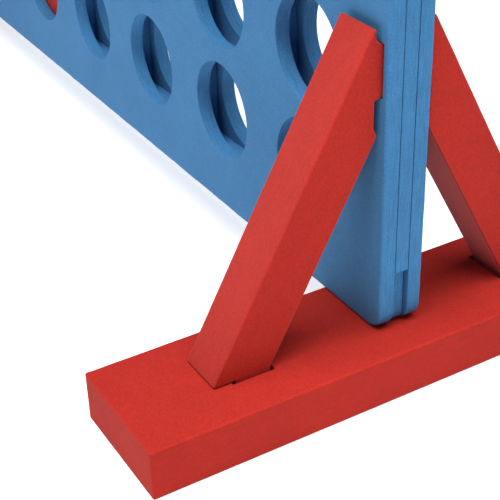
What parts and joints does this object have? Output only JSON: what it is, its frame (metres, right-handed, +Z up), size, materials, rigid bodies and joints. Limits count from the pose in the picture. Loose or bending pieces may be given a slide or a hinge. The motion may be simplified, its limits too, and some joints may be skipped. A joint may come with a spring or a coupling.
{
  "type": "giant four in a row game",
  "caption": "Upright foam game board with a grid of round view holes, discs dropped into its columns, a sliding release bar and two strutted feet.",
  "frame": {"origin": "on the floor, at the bottom centre of the bounding box, under the middle of the board", "axes": "+X along the board to its right end, -Y to the front player, +Z up"},
  "size_m": [0.794, 0.34, 0.5313],
  "materials": {
    "board_foam": "matte",
    "stand_foam": "matte",
    "red_disc_foam": "matte",
    "yellow_disc_foam": "matte"
  },
  "bodies": {
    "board_and_stand": {"front_panel": "board_foam", "back_panel": "board_foam", "end_spacer_left": "board_foam", "end_spacer_right": "board_foam", "column_divider_1": "board_foam", "column_divider_2": "board_foam", "column_divider_3": "board_foam", "column_divider_4": "board_foam", "column_divider_5": "board_foam", "column_divider_6": "board_foam", "foot_left": "stand_foam", "foot_right": "stand_foam", "strut_front_left": "stand_foam", "strut_front_right": "stand_foam", "strut_back_left": "stand_foam", "strut_back_right": "stand_foam"},
    "release_bar": {"release_bar": "board_foam"},
    "yellow_disc_column_1_row_1": {"yellow_disc_column_1_row_1": "yellow_disc_foam"},
    "red_disc_column_1_row_2": {"red_disc_column_1_row_2": "red_disc_foam"},
    "yellow_disc_column_2_row_1": {"yellow_disc_column_2_row_1": "yellow_disc_foam"},
    "red_disc_column_2_row_2": {"red_disc_column_2_row_2": "red_disc_foam"},
    "red_disc_column_2_row_3": {"red_disc_column_2_row_3": "red_disc_foam"},
    "red_disc_column_3_row_1": {"red_disc_column_3_row_1": "red_disc_foam"},
    "yellow_disc_column_3_row_2": {"yellow_disc_column_3_row_2": "yellow_disc_foam"},
    "red_disc_column_3_row_3": {"red_disc_column_3_row_3": "red_disc_foam"},
    "yellow_disc_column_3_row_4": {"yellow_disc_column_3_row_4": "yellow_disc_foam"}
  },
  "joints": [
    {"name": "release_bar_slide", "type": "slide", "parent": "board_and_stand", "child": "release_bar", "axis": [-1, 0, 0], "range_m": [0, 0.76]},
    {"name": "lift_column_1_row_1", "type": "slide", "parent": "board_and_stand", "child": "yellow_disc_column_1_row_1", "axis": [0, 0, 1], "range_m": [0, 0.469]},
    {"name": "lift_column_1_row_2", "type": "slide", "parent": "yellow_disc_column_1_row_1", "child": "red_disc_column_1_row_2", "axis": [0, 0, 1], "range_m": [0, 0.394]},
    {"name": "lift_column_2_row_1", "type": "slide", "parent": "board_and_stand", "child": "yellow_disc_column_2_row_1", "axis": [0, 0, 1], "range_m": [0, 0.469]},
    {"name": "lift_column_2_row_2", "type": "slide", "parent": "yellow_disc_column_2_row_1", "child": "red_disc_column_2_row_2", "axis": [0, 0, 1], "range_m": [0, 0.394]},
    {"name": "lift_column_2_row_3", "type": "slide", "parent": "red_disc_column_2_row_2", "child": "red_disc_column_2_row_3", "axis": [0, 0, 1], "range_m": [0, 0.319]},
    {"name": "lift_column_3_row_1", "type": "slide", "parent": "board_and_stand", "child": "red_disc_column_3_row_1", "axis": [0, 0, 1], "range_m": [0, 0.469]},
    {"name": "lift_column_3_row_2", "type": "slide", "parent": "red_disc_column_3_row_1", "child": "yellow_disc_column_3_row_2", "axis": [0, 0, 1], "range_m": [0, 0.394]},
    {"name": "lift_column_3_row_3", "type": "slide", "parent": "yellow_disc_column_3_row_2", "child": "red_disc_column_3_row_3", "axis": [0, 0, 1], "range_m": [0, 0.319]},
    {"name": "lift_column_3_row_4", "type": "slide", "parent": "red_disc_column_3_row_3", "child": "yellow_disc_column_3_row_4", "axis": [0, 0, 1], "range_m": [0, 0.244]}
  ]
}
